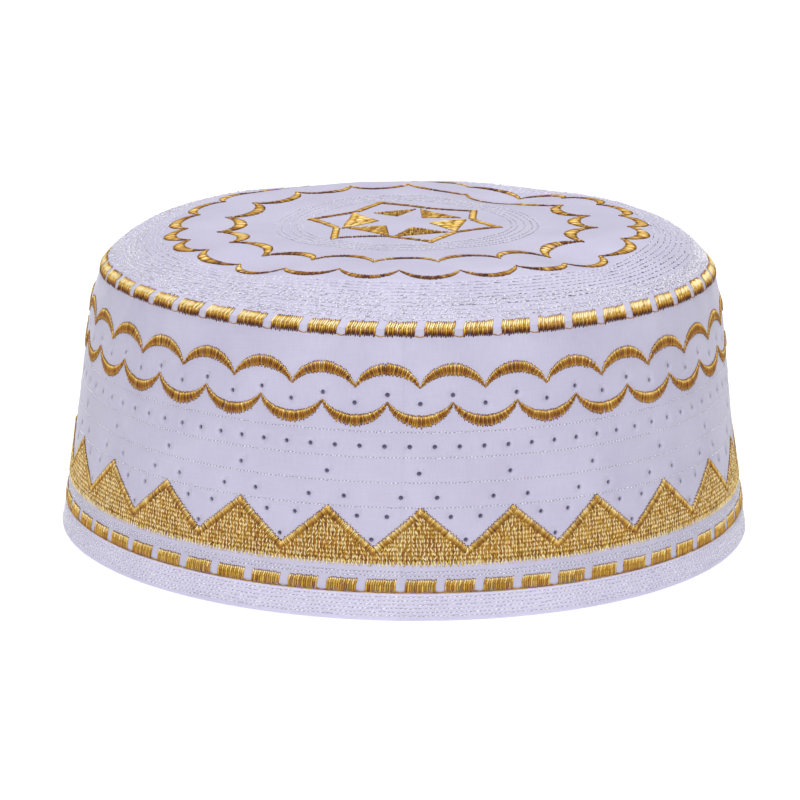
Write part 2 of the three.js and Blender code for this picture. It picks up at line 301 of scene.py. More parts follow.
def on_side(angle, z, lift=0.0):
    """A point of the side: from the wall's curve, out along its normal by the relief and a lift."""
    step = 0.05 * mm
    slope = (side_radius(z + step, angle) - side_radius(z - step, angle)) / (2 * step)
    rise = (lift + side_relief(angle, z)) / np.sqrt(1 + slope**2)
    radius = side_radius(z, angle) + rise
    return side_by_side(radius * np.sin(angle), -radius * np.cos(angle), z - rise * slope)


def on_crown(x, y, lift=0.0):
    """A point of the crown: from its height, along its normal by the relief and a lift."""
    step = 0.1 * mm
    slope_x = (crown_height(x + step, y) - crown_height(x - step, y)) / (2 * step)
    slope_y = (crown_height(x, y + step) - crown_height(x, y - step)) / (2 * step)
    rise = (lift + crown_relief(x, y)) / np.sqrt(1 + slope_x**2 + slope_y**2)
    return side_by_side(x - slope_x * rise, y - slope_y * rise, crown_height(x, y) + rise)


probe = side_relief(np.linspace(0, full_turn, 500)[None, :], np.linspace(8, 72, 200)[:, None] * mm)
print(f"relief of the side from {probe.min() / mm:.2f} to {probe.max() / mm:.2f} mm")

# %% [markdown]
# ## From arrays to a piece
# Blender can build a mesh face by face, which is slow for threads by the thousand. Here all corners
# and faces of a piece are arrays, and each array goes into the mesh in one call. A closed shell round
# the cap is a grid of rows and columns whose last column meets the first.

# %% Mesh helpers
def neighbours(count):
    """The columns round the cap, and the one beside each, where the last meets the first."""
    column = np.arange(count)
    return column, (column + 1) % count


def grid_quads(rows, columns, closed_rows):
    """Four corners of each cell of a grid whose columns close, and whose rows may close too."""
    row = np.arange(rows if closed_rows else rows - 1)[:, None]
    next_row = (row + 1) % rows
    column, beside = neighbours(columns)
    corners = [
        row * columns + column,
        row * columns + beside,
        next_row * columns + beside,
        next_row * columns + column,
    ]
    return side_by_side(*corners).reshape(-1, 4)


def make_piece(name, points, quads, material, nodes=(), triangles=None, tone=None, uv=None):
    """A smooth mesh object from arrays, riding on the cap and standing for its CAD nodes."""
    points = tucked(points.reshape(-1, 3))
    triangles = np.zeros((0, 3), int) if triangles is None else triangles
    corners = np.concatenate([quads.ravel(), triangles.ravel()])
    used, corners = np.unique(corners, return_inverse=True)
    sizes = np.concatenate([np.full(len(quads), 4), np.full(len(triangles), 3)])
    mesh = bpy.data.meshes.new(name)
    mesh.vertices.add(len(used))
    mesh.vertices.foreach_set("co", points[used].astype(np.float32).ravel())
    mesh.loops.add(len(corners))
    mesh.loops.foreach_set("vertex_index", corners.astype(np.int32))
    mesh.polygons.add(len(sizes))
    mesh.polygons.foreach_set("loop_start", (np.cumsum(sizes) - sizes).astype(np.int32))
    mesh.polygons.foreach_set("use_smooth", np.ones(len(sizes), bool))
    if uv is not None:
        spots = uv.reshape(-1, 2)[used][corners]
        layer = mesh.uv_layers.new(name="cloth")
        layer.data.foreach_set("uv", spots.astype(np.float32).ravel())
    mesh.update(calc_edges=True)
    if tone is not None:
        layer = mesh.attributes.new("tone", "FLOAT", "POINT")
        layer.data.foreach_set("value", tone.ravel()[used].astype(np.float32))
    mesh.materials.append(material)
    piece = bpy.data.objects.new(name, mesh)
    bpy.context.scene.collection.objects.link(piece)
    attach(piece, "root")
    if nodes:
        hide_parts(*nodes)
    print(f"{name}: {len(used)} points, {2 * len(quads) + len(triangles)} triangles")


# %% [markdown]
# ## Cotton
# The cap's cotton is a close plain weave with a slight lustre, white with a lilac cast. A photograph
# of cloth could be laid on it, but a few nodes give the same: two crossed sine waves for the weave,
# long thin noise for uneven yarns, and wide soft noise for colour. The pattern reads the piece's own
# UV map, which is in metres along the cloth.

# %% Material helpers
def add_node(tree, kind, **values):
    """A node of that kind, with its inputs set by name or number, and other settings as given."""
    node = tree.nodes.new(kind)
    for key, value in values.items():
        if key.startswith("in_"):
            place = key[3:]
            node.inputs[int(place) if place.isdigit() else place.replace("_", " ")].default_value = value
        else:
            setattr(node, key, value)
    return node


def new_material(name, **finish):
    """A material with one Principled shader whose sockets are set by name. Gives tree and shader."""
    material = bpy.data.materials.new(name)
    material.use_nodes = True
    shader = material.node_tree.nodes["Principled BSDF"]
    for socket, value in finish.items():
        shader.inputs[socket.replace("_", " ")].default_value = value
    return material, material.node_tree, shader


def yarn_waves(tree, coordinate, axis, pitch):
    """The sine of one coordinate, one wave for each yarn."""
    split = add_node(tree, "ShaderNodeSeparateXYZ")
    tree.links.new(coordinate, split.inputs[0])
    turns = combine(tree, "MULTIPLY", split.outputs[axis], full_turn / pitch)
    return combine(tree, "SINE", turns)


def stretched_noise(tree, coordinate, scale, detail=3.0):
    """Noise over a coordinate that is first scaled by a different amount on each axis."""
    squeeze = add_node(tree, "ShaderNodeMapping", in_Scale=scale)
    tree.links.new(coordinate, squeeze.inputs[0])
    noise = add_node(tree, "ShaderNodeTexNoise", in_Scale=1.0, in_Detail=detail, in_Roughness=0.6)
    tree.links.new(squeeze.outputs[0], noise.inputs["Vector"])
    return noise.outputs["Fac"]


def combine(tree, operation, *values):
    """One Math node: its inputs are sockets or plain numbers."""
    node = add_node(tree, "ShaderNodeMath", operation=operation)
    for place, value in enumerate(values):
        if isinstance(value, (int, float)):
            node.inputs[place].default_value = value
        else:
            tree.links.new(value, node.inputs[place])
    return node.outputs[0]


def colour_ramp(tree, factor, stops):
    """The colour for a socket's value, mixed between stops that are a value and a colour each."""
    ramp = add_node(tree, "ShaderNodeValToRGB")
    for value, _ in stops[1:-1]:
        ramp.color_ramp.elements.new(value)
    for element, (value, colour) in zip(ramp.color_ramp.elements, stops):
        element.position = value
        element.color = (*colour, 1)
    tree.links.new(factor, ramp.inputs[0])
    return ramp.outputs[0]


def add_bump(tree, shader, height, strength, distance):
    """Tiny relief on the shader's normal, from a socket."""
    bump = add_node(tree, "ShaderNodeBump", in_Strength=strength, in_Distance=distance)
    tree.links.new(height, bump.inputs["Height"])
    tree.links.new(bump.outputs[0], shader.inputs["Normal"])


# %% Cotton material
cotton_shades = [(0.3, (0.48, 0.455, 0.605)), (0.7, (0.6, 0.575, 0.73))]
# the dusky lilac below is painted shade for the inside of the eyelets
eyelet_painted_shade = (0.21, 0.19, 0.29, 1)
yarn_pitch = 0.42 * mm


def cotton_material(name, pale=1.0):
    """Lilac-white cotton, its shades times pale, which makes a brighter copy as painted light: crossed
    yarn waves and long noise as bump, wide noise as colour, mixed with a dusky lilac as painted shade
    where the piece's tone is high, which is only inside its eyelets."""
    material, tree, shader = new_material(
        name,
        Roughness=0.72,
        Specular_IOR_Level=0.3,
        Sheen_Weight=0.25,
        Sheen_Roughness=0.5,
    )
    place = add_node(tree, "ShaderNodeUVMap", uv_map="cloth").outputs[0]
    warp, weft = (yarn_waves(tree, place, axis, yarn_pitch) for axis in (0, 1))
    weave = combine(tree, "MULTIPLY", warp, weft)
    upright = stretched_noise(tree, place, (2600, 260, 1))
    level = stretched_noise(tree, place, (180, 2400, 1))
    cloudy = stretched_noise(tree, place, (45, 45, 1), 2.0)
    yarns = combine(tree, "MULTIPLY_ADD", upright, 1.2, level)
    add_bump(tree, shader, combine(tree, "MULTIPLY_ADD", weave, 0.22, yarns), 0.35, 0.12 * mm)
    mottled = combine(tree, "MULTIPLY_ADD", yarns, 0.22, combine(tree, "MULTIPLY", cloudy, 0.5))
    shades = [(value, [pale * part for part in colour]) for value, colour in cotton_shades]
    depth = add_node(tree, "ShaderNodeAttribute", attribute_name="tone").outputs["Fac"]
    shade = add_node(tree, "ShaderNodeMix", data_type="RGBA", blend_type="MIX", clamp_factor=True)
    tree.links.new(depth, shade.inputs[0])
    tree.links.new(colour_ramp(tree, mottled, shades), shade.inputs[6])
    shade.inputs[7].default_value = eyelet_painted_shade
    tree.links.new(shade.outputs[2], shader.inputs["Base Color"])
    return material


cotton = cotton_material("lilac_white_cotton")
# a brighter copy of the cotton for the hem, as painted light
painted_light_cotton = cotton_material("painted_light_cotton", 1.22)
print("cotton:", len(cotton.node_tree.nodes), "nodes")

# %% [markdown]
# ## Side band with its eyelets
# About three hundred tiny holes are punched into the quilted cloth in rows, and look dark inside. They
# could be dark dots on the cloth, but a real pit shows its depth from every side. The band is a grid
# of small cells, outside and inside. At each eyelet the nearest grid point of the outer face is
# dropped, its eight neighbours are set on a small circle, and a short tube with a bottom goes in.
# Its walls and bottom also get a dusky lilac as painted shade.

# %% Places of the eyelets
eyelet_radius = 0.63 * mm
eyelet_depth = 1.1 * mm
scallop_count = 33
scallop_turn = math.radians(2.51)
zigzag_count = 24
zigzag_turn = math.radians(2.74)
eyelet_shift = math.radians(-0.35)


def spread(count, first):
    """Even angles round the cap from a first one."""
    return first + full_turn * np.arange(count) / count


def eyelet_row(count, first, height):
    """One row of eyelets: angle and height of each."""
    return side_by_side(spread(count, first), height)


# eyelets round one gold triangle: degrees from its peak, height in mm
triangle_eyelets = [(0, 38.3), (-2.9, 32.1), (2.9, 32.1), (-5.1, 27.1), (5.1, 27.1), (7.5, 21.1)]
half_scallop = full_turn / scallop_count / 2
eyelets = np.concatenate([
    eyelet_row(scallop_count, scallop_turn, 56.0 * mm),
    eyelet_row(scallop_count, scallop_turn + half_scallop, 58.2 * mm),
    eyelet_row(88, math.radians(0.82), 45.1 * mm),
    *[
        eyelet_row(zigzag_count, zigzag_turn + eyelet_shift + math.radians(degrees), height * mm)
        for degrees, height in triangle_eyelets
    ],
])
print(len(eyelets), "eyelets")


# %% Rows of the side cloth
def rows_between(marks, widest):
    """Row places that include every mark, with even steps no wider than given between them."""
    steps = [np.linspace(a, b, math.ceil((b - a) / widest) + 1)[:-1] for a, b in zip(marks[:-1], marks[1:])]
    return np.concatenate(steps + [marks[-1:]])


side_low = hem_height + 0.15 * mm
near_rows = np.concatenate([fine_rows - 0.8 * mm, fine_rows, fine_rows + 0.8 * mm])
near_band = np.concatenate([band_rows - 0.5 * mm, band_rows, [13.5 * mm, 11.2 * mm]])
side_ends = [side_low, wall_height - 0.06 * mm, wall_height]
side_marks = np.unique(np.round(np.concatenate([side_ends, near_rows, near_band]), 6))
side_rows = rows_between(side_marks, 1.12 * mm)
side_columns = 552
inner_rows = 14
ring_steps = np.array([(-1, -1), (-1, 0), (-1, 1), (0, 1), (1, 1), (1, 0), (1, -1), (0, -1)])
print(len(side_rows), "rows outside,", inner_rows, "inside, of", side_columns, "columns")


# %% Side cloth
def side_cloth():
    """Outer and inner grids of the band, a pit at each eyelet, and two rims. Eight points make a
    pit's mouth, eight more its foot, and a middle point closes it with four cells."""
    angle, z = np.meshgrid(spread(side_columns, 0), side_rows)
    middle_row = np.abs(side_rows[None, :] - eyelets[:, 1:]).argmin(1)
    middle_column = np.round(eyelets[:, 0] / full_turn * side_columns).astype(int)
    ring_row = middle_row[:, None] + ring_steps[:, 0]
    ring_column = (middle_column[:, None] + ring_steps[:, 1]) % side_columns
    turned = np.arctan2(ring_steps[:, 0], ring_steps[:, 1])
    near = wall_radius(eyelets[:, 1:], eyelets[:, :1])
    mouth_angle = (eyelets[:, :1] + eyelet_radius * np.cos(turned) / near) % full_turn
    mouth_z = eyelets[:, 1:] + eyelet_radius * np.sin(turned)
    inner_heights = np.linspace(side_low, wall_height, inner_rows)
    inner_angle, inner_z = np.meshgrid(spread(side_columns, 0), inner_heights)
    z[ring_row, ring_column] = mouth_z
    angle[ring_row, ring_column] = mouth_angle
    lip = np.zeros_like(z)
    lip[ring_row, ring_column] = 0.04 * mm
    faces = [
        on_side(angle, z, lip),
        on_side(inner_angle, inner_z, -side_cloth_thickness),
        on_side(mouth_angle, mouth_z, -eyelet_depth),
        on_side(*eyelets.T, -eyelet_depth),
    ]
    points = np.concatenate([face.reshape(-1, 3) for face in faces])

    size, both = angle.size, angle.size + inner_z.size
    cells = grid_quads(len(side_rows), side_columns, False)
    dropped = middle_row * side_columns + middle_column % side_columns
    kept = cells[~np.isin(cells, dropped).any(1)]
    inner_cells = grid_quads(inner_rows, side_columns, False)[:, ::-1] + size
    ring = ring_row * side_columns + ring_column
    foot = both + np.arange(ring.size).reshape(ring.shape)
    tubes = side_by_side(ring, np.roll(ring, -1, axis=1), np.roll(foot, -1, axis=1), foot)
    middle = both + ring.size + np.arange(len(eyelets))[:, None]
    bottoms = side_by_side(middle, foot[:, 0::2], foot[:, 1::2], np.roll(foot[:, 0::2], -1, axis=1))
    column, beside = neighbours(side_columns)
    top, inner_top = size - side_columns, both - side_columns
    low_rim = side_by_side(beside, column, column + size, beside + size)
    high_rim = side_by_side(column + top, beside + top, beside + inner_top, column + inner_top)
    rims_and_pits = [tubes.reshape(-1, 4), bottoms.reshape(-1, 4), low_rim, high_rim]
    quads = np.concatenate([kept, inner_cells, *rims_and_pits])

    places = [(angle, z), (inner_angle, inner_z), (mouth_angle, mouth_z), eyelets.T]
    uv = np.concatenate([side_by_side(a * hem_radius, b).reshape(-1, 2) for a, b in places])
    # tone 1 on the eyelets' walls and bottoms gives them the cotton's painted shade
    tone = np.concatenate([np.zeros(both), np.ones(ring.size + len(eyelets))])
    make_piece("side_cloth", points, quads, cotton, ["side_band"], tone=tone, uv=uv)


side_cloth()

# %% [markdown]
# ## Crown and hem cloth
# The crown is one quilted disc with a rounded shoulder, and the hem is a folded strip. Each is a
# section carried round the axis. The crown's runs out along the underside and back over the top, and
# the hem's goes up its face, over the edge and down inside. The rows stand closer where the stitched
# rows need it.

# %% Crown cloth
crown_columns = 384
inner_grain = 66.2 * mm


def crown_ring(reach, lift=0.0):
    """The crown's points at each distance from its middle, all the way round."""
    turned = spread(crown_columns, 0)
    return on_crown(reach[:, None] * np.sin(turned), -reach[:, None] * np.cos(turned), lift)


def crown_cloth():
    """A section from the axis along the underside to the rim, and back over the top to the axis."""
    under_reach = np.linspace(2 * mm, seam_radius - crown_cloth_thickness, 18)
    fine = rows_between(np.sort(np.concatenate([[inner_grain, 83.0 * mm], rim_rows])), 0.55 * mm)
    inside = rows_between(np.sort(np.concatenate([[2 * mm], star_rows, [inner_grain]])), 1.4 * mm)[:-1]
    edge = np.array([83.4, 83.8, 84.1, 84.35, 84.46, 84.5]) * mm
    under = crown_ring(under_reach, -crown_cloth_thickness)
    over = crown_ring(np.concatenate([inside, fine, edge])[::-1])
    under[-1, :, 2] = wall_height
    over[0, :, 2] = wall_height
    rows = np.concatenate([under, over])
    quads = grid_quads(len(rows), crown_columns, False)
    poles = np.array([on_crown(0.0, 0.0, -crown_cloth_thickness), on_crown(0.0, 0.0)])
    points = np.concatenate([rows.reshape(-1, 3), poles])
    column, beside = neighbours(crown_columns)
    last = (len(rows) - 1) * crown_columns
    low_pole = len(points) - 2
    fans = np.concatenate([
        side_by_side(low_pole, beside, column),
        side_by_side(low_pole + 1, column + last, beside + last),
    ])
    make_piece("crown_cloth", points, quads, cotton, ["crown"], fans, uv=points[:, :2])


crown_cloth()


# %% Hem cloth
def hem_cloth():
    """A closed section: up the stitched outer face, over the top edge, down the inside, round the foot."""
    columns = 480
    rise = rows_between(np.sort(np.concatenate([[hem_round, hem_height], hem_rows])), 0.34 * mm)
    turned = spread(columns, 0)[None, :]
    outer = on_side(turned, rise[:, None])
    inside_z = np.linspace(hem_height, hem_round, 9)
    inner = on_side(turned, inside_z[:, None], -hem_cloth_thickness)
    corner = np.linspace(0, np.pi / 2, 5)[:, None]
    inner_foot = hem_radius - hem_cloth_thickness + hem_round
    outer_foot = hem_radius - hem_round
    foot_radius = np.concatenate([
        inner_foot - hem_round * np.cos(corner[1:]),
        outer_foot + hem_round * np.sin(corner[:-1]),
    ])
    foot_z = hem_round * np.concatenate([1 - np.sin(corner[1:]), 1 - np.cos(corner[:-1])])
    sway = 0.15 * mm * waves(np.sin(turned) * hem_radius, np.cos(turned) * hem_radius, *side_waves)
    foot_radius = foot_radius + sway * foot_z / hem_round
    foot = side_by_side(foot_radius * np.sin(turned), -foot_radius * np.cos(turned), foot_z)
    rows = np.concatenate([outer, inner, foot])
    quads = grid_quads(len(rows), columns, True)
    run = np.concatenate([rise, 2 * hem_height - inside_z, -foot_z[:, 0]])
    uv = side_by_side(turned * hem_radius, run[:, None])
    make_piece("hem_cloth", rows, quads, painted_light_cotton, ["hem_band"], uv=uv)


hem_cloth()

# %% [markdown]
# ## Threads
# Every stitch on the cap is a short strand that comes out of the cloth, lies over it and goes back
# in. A curve with a bevel could draw one, but there are tens of thousands, so one function makes
# them all at once: a middle line on the cloth for each strand, three points round each of its rings.
# Strands wider than their step overlap, and their ends dive into the cloth.

# %% Strands of thread
def unit(vectors):
    """Each vector divided by its length."""
    return vectors / np.linalg.norm(vectors, axis=-1, keepdims=True)


def strands(surface, start, end, width, rise, rings=4, thick=0.8, lift=0.0):
    """Points, cells, end triangles and shares along, for one strand from each start to its end.

    The middle line runs straight from start to end on the surface and stands over it by the lift
    plus the rise times the root of a sine, so that both ends dive into the cloth. The section is a
    flat triangle, narrower at both ends, where a small triangle closes it."""
    share = np.linspace(0, 1, rings)
    path = start[:, None, :] * (1 - share)[:, None] + end[:, None, :] * share[:, None]
    arch = np.sqrt(np.clip(np.sin(np.pi * share), 0, 1))
    over = lift + np.reshape(rise, (-1, 1)) * arch
    middle = surface(path[..., 0], path[..., 1], over)
    up = unit(surface(path[..., 0], path[..., 1], over + 0.2 * mm) - middle)
    along = unit(np.gradient(middle, axis=1))
    side = np.cross(along, up)
    half = (np.reshape(width, (-1, 1)) / 2 * (0.5 + 0.5 * arch))[..., None]
    points = np.stack([middle + side * half, middle + up * half * thick, middle - side * half], axis=2)
    count = len(start)
    cell = np.arange(count * rings * 3).reshape(count, rings, 3)
    around = np.roll(cell, -1, axis=2)
    walls = side_by_side(cell[:, 1:], around[:, 1:], around[:, :-1], cell[:, :-1]).reshape(-1, 4)
    ends = np.concatenate([cell[:, 0], cell[:, -1, ::-1]])
    shares = np.broadcast_to(share[None, :, None], cell.shape)
    return points.reshape(-1, 3), walls, ends, shares.reshape(count, -1)


def stitches(surface, start, end, width, rise, tone, scatter, **shape):
    """Strands with tones. The tone is read along each strand from an even row of tones, and each
    strand adds one of its own, by chance, with the given scatter."""
    count = len(start)
    size = width * chance.uniform(0.88, 1.12, count)
    lifted = rise * chance.uniform(0.85, 1.15, count)
    points, walls, ends, share = strands(surface, start, end, size, lifted, **shape)
    along = np.interp(share, np.linspace(0, 1, len(tone)), tone)
    return points, walls, ends, along + chance.normal(0, scatter, (count, 1))


def stitched_piece(name, parts, material, nodes=()):
    """One piece from several sets of strands with their tones."""
    offsets = np.cumsum([0] + [len(part[0]) for part in parts[:-1]])
    points = np.concatenate([part[0] for part in parts])
    walls = np.concatenate([part[1] + offset for part, offset in zip(parts, offsets)])
    ends = np.concatenate([part[2] + offset for part, offset in zip(parts, offsets)])
    tones = np.concatenate([part[3].ravel() for part in parts])
    print(len(ends) // 2, "strands:")
    make_piece(name, points, walls, material, nodes, triangles=ends, tone=tones)


sample = strands(on_side, np.array([[0, wall_height / 2]]), np.array([[0.01, wall_height / 2]]), mm, mm)
print("one strand:", len(sample[0]), "points,", len(sample[1]), "cells and", len(sample[2]), "ends")

# %% [markdown]
# ## White thread
# The stitched rows are white cotton thread, a little brighter than the cloth, with a painted dusky
# shade where it turns into it. Each thread on the cap carries a tone, so one kind of material does
# for white and gold: a ramp of colours over the tone, and fine noise for the twist.

# %% Thread materials
# low tones are painted shade: the dark lilac at tone 0 at the needle holes, dusky tones at the stitches'
# ends
white_shades = [(0.0, (0.13, 0.115, 0.19)), (0.5, (0.56, 0.54, 0.67)), (1.0, (0.95, 0.94, 0.98))]


def thread_material(name, shades, twist, strength, depth, grain=0.0, **finish):
    """Thread that takes its colour from a ramp over its tone, made uneven by noise where grain is
    given, with the bump of its twist from noise of that scale."""
    material, tree, shader = new_material(name, **finish)
    tone = add_node(tree, "ShaderNodeAttribute", attribute_name="tone").outputs["Fac"]
    place = add_node(tree, "ShaderNodeTexCoord").outputs["Object"]
    if grain:
        specks = stretched_noise(tree, place, (3200, 3200, 3200), 2.0)
        tone = combine(tree, "ADD", tone, combine(tree, "MULTIPLY_ADD", specks, grain, -grain / 2))
    tree.links.new(colour_ramp(tree, tone, shades), shader.inputs["Base Color"])
    add_bump(tree, shader, stretched_noise(tree, place, (twist, twist, twist)), strength, depth)
    return material


white_thread = thread_material(
    "white_thread", white_shades, 5000, 0.4, 0.08 * mm,
    Roughness=0.5, Specular_IOR_Level=0.45, Sheen_Weight=0.2,
)
print("white thread:", len(white_thread.node_tree.nodes), "nodes")

# %% [markdown]
# ## White stitches
# Each stitch of a row is a short strand, slightly slanted, and between it and the next lies a flat
# dusky strand, painted shade where the needle went in. On the rim of the crown the rows are close,
# and loose short stitches between them make a dense grain.

# %% Rows of stitches
# tones along a stitch: its ends are darker, as painted shade where it goes into the cloth
white_tones = (0.6, 1, 0.7)
# the pits are flat dark strands lying on the cloth, painted shade at the needle holes
pit_shape = {"rings": 2, "thick": 0.2, "lift": 0.03 * mm}


def row_marks(count, pitch_angle, uneven_by):
    """Even angles from a chance first one, each a little off by chance."""
    return spread(count, chance.uniform(0, 0.05)) + chance.normal(0, uneven_by * pitch_angle, count)


def side_stitches(rows, pitch, length, slant, width):
    """Running stitches along rows of the side, and before each of them a flat dark strand, painted shade of
    its needle hole.
    """
    parts = []
    for row in rows:
        count = round(full_turn * hem_radius / pitch)
        begin = row_marks(count, pitch / hem_radius, 0.12)
        height = row + chance.normal(0, 0.08 * mm, count)
        start = side_by_side(begin, height - slant / 2)
        end = side_by_side(begin + length / hem_radius, height + slant / 2)
        parts.append(stitches(on_side, start, end, width, 0.12 * mm, white_tones, 0.12, rings=3))
        # the pit: a flat strand of tone 0.02, painted shade where the needle went in
        pit = [start - [before * mm / hem_radius, 0] for before in (0.42, 0.12)]
        parts.append(stitches(on_side, *pit, 0.34 * mm, 0.0, (0.02,), 0.1, **pit_shape))
    return parts


def on_ring(reach, turned):
    """Places on the crown at a distance and an angle from its middle."""
    return side_by_side(reach * np.sin(turned), -reach * np.cos(turned))


def painted_row_shade(turned):
    """How strongly the rim's rows get painted shade: a bell round the cap with its top at the right."""
    return bell(turn_from(math.radians(72), turned), math.radians(45))


def crown_stitches(rows, pitch, length, width, pit_width, pit_shade_tone):
    """Running stitches round the crown, slanted by chance, and the pit before each of them. The
    pits are painted darkest and made widest on the right, as painted shade of the valleys between the rows
    there."""
    parts = []
    for row in rows:
        count = round(full_turn * row / pitch)
        begin = row_marks(count, pitch / row, 0.14)
        reach = row + chance.normal(0, 0.1 * mm, count)
        slant = chance.uniform(-0.1, 0.55, count) * mm
        start = on_ring(reach + slant / 2, begin)
        end = on_ring(reach - slant / 2, begin + length / row)
        parts.append(stitches(on_crown, start, end, width, 0.14 * mm, white_tones, 0.14, rings=3))
        pit = [on_ring(reach, begin - shift / row) for shift in (pitch - length + 0.15 * mm, 0)]
        # wider and darker pits on the right are painted shade between the rows there
        widths = pit_width * (0.6 + 1.4 * painted_row_shade(begin))
        *mesh, tones = stitches(on_crown, *pit, widths, 0.0, (pit_shade_tone,), 0.1, **pit_shape)
        parts.append((*mesh, tones + 0.45 * (1 - painted_row_shade(begin)[:, None])))
    return parts


def rim_grain(count):
    """Loose short white stitches scattered over the shoulder, slanting up to the right, and fewer
    of them on the right, where the rows get the most painted shade."""
    turned = chance.uniform(0, full_turn, count)
    inner = (73 + 6.5 * painted_row_shade(turned)) * mm
    reach = np.sqrt(chance.uniform(inner**2, (82.6 * mm) ** 2))
    length = chance.uniform(0.45, 0.9, count)[:, None] * mm
    lean = chance.normal(0.7, 0.5, count)
    way = unit(on_ring(np.ones(count), turned))
    across = side_by_side(-way[:, 1], way[:, 0])
    half = (across * np.cos(lean)[:, None] - way * np.sin(lean)[:, None]) * length / 2
    middle = on_ring(reach, turned)
    ends = (middle - half, middle + half)
    return [stitches(on_crown, *ends, 0.3 * mm, 0.16 * mm, white_tones, 0.16, rings=3)]


# %% White pieces
# on the side: pitch, length, slant and width of the stitches
side_thread = side_stitches(fine_rows, 1.05 * mm, 0.55 * mm, 0.06 * mm, 0.34 * mm)
side_thread += side_stitches(band_rows, 1.1 * mm, 0.7 * mm, 0.12 * mm, 0.36 * mm)
hem_thread = side_stitches(hem_rows, 1.25 * mm, 0.9 * mm, 0.14 * mm, 0.42 * mm)
# on the crown: pitch, length and width of the stitches, then width and tone of the pits, the flat strands of
# painted shade
star_thread = crown_stitches(star_rows, 1.25 * mm, 0.85 * mm, 0.34 * mm, 0.5 * mm, -0.15)
rim_thread = crown_stitches(rim_rows[:8], 1.8 * mm, 0.9 * mm, 0.44 * mm, 0.7 * mm, -0.25)
rim_thread += crown_stitches(rim_rows[8:], 1.3 * mm, 0.8 * mm, 0.42 * mm, 0.34 * mm, 0.0)
white_parts = {
    "side": side_thread, "hem": hem_thread, "star": star_thread, "rim": rim_thread, "grain": rim_grain(5600),
}
for name, parts in white_parts.items():
    stitched_piece(f"white_stitches_{name}", parts, white_thread)

# %% [markdown]
# ## Gold thread
# The gold is a lustrous rayon thread. Its ramp runs from brown, used as painted shade where it turns
# into the cloth, through gold, to a pale straw, used as a painted highlight where light would catch
# it. The gloss comes from the shader. Satin is such thread laid side by side, so one function sews it
# between any two edges.

# %% Gold thread
gold_shades = [
    (0.0, (0.095, 0.022, 0.006)),
    (0.2, (0.30, 0.10, 0.008)),
    (0.4, (0.44, 0.21, 0.025)),
    (0.6, (0.62, 0.355, 0.055)),
    (0.8, (0.88, 0.61, 0.14)),
    (1.0, (1.0, 0.85, 0.50)),
]
gold_thread = thread_material(
    "gold_thread", gold_shades, 6000, 0.5, 0.06 * mm, grain=0.3,
    Roughness=0.46, Specular_IOR_Level=0.38, Metallic=0.15, Sheen_Weight=0.03,
)


def gold_piece(name, parts, nodes):
    """Gold strands as one piece."""
    stitched_piece(name, parts, gold_thread, nodes)


def satin(surface, low, high, tone, width=0.62 * mm, rise=0.17 * mm, scatter=0.08, shift=0.0, rings=6):
    """Satin stitches side by side, each from its low to its high edge, as wide as their step. Every
    second one is a little paler and longer at the low edge, which leaves a fine comb there."""
    odd = (np.arange(len(low)) % 2)[:, None]
    low = low + (low - high) * 0.08 * odd
    shape = {"rings": rings, "thick": 0.6, "lift": 0.02 * mm}
    *mesh, tones = stitches(surface, low, high, width, rise, tone, scatter, **shape)
    return *mesh, tones + 0.14 * odd - 0.07 + shift


def uneven(spots, by, radius=1.0):
    """The same places, each a little off by chance. On the side, the turn is over its radius."""
    return spots + chance.normal(0, by, spots.shape) * [1 / radius, 1]


def round_side(drawing, middles, level, radius, flip=1):
    """A flat drawing's points, repeated round the side at each middle angle, from a level up, or
    down where flip is -1."""
    turned = middles[:, None] + drawing[:, 0] / radius
    return side_by_side(turned, level + flip * drawing[:, 1]).reshape(-1, 2)


def painted_lustre(low, high, gain, loss):
    """A painted sheen: thread laid along X, across the view, is painted brighter and thread laid along Y,
    towards the eye, duller, so a stitch's tone shifts by the share of it that runs in X, times the gain,
    less the loss."""
    return gain * np.abs(unit(high - low)[:, :1]) - loss


print("gold thread:", len(gold_thread.node_tree.nodes), "nodes")

# %% [markdown]
# ## Rings of dashes
# A ring of short satin bars follows the seam, and another stands just over the hem. One thread runs
# on along the lower edge from bar to bar. The stitches lean a little, so a bar's ends lean with them.

# %% Dashes
dash_height = 3.3 * mm
dash_gap = 2.35 * mm
satin_pitch = 0.6 * mm
lower_dash_count = 58
# the teeth and the slanted stitches of a bar: start and end as shares of its height, and slant
teeth = (-0.05, 0.62, -0.35)
slants = (0.42, 1.0, 1.0)


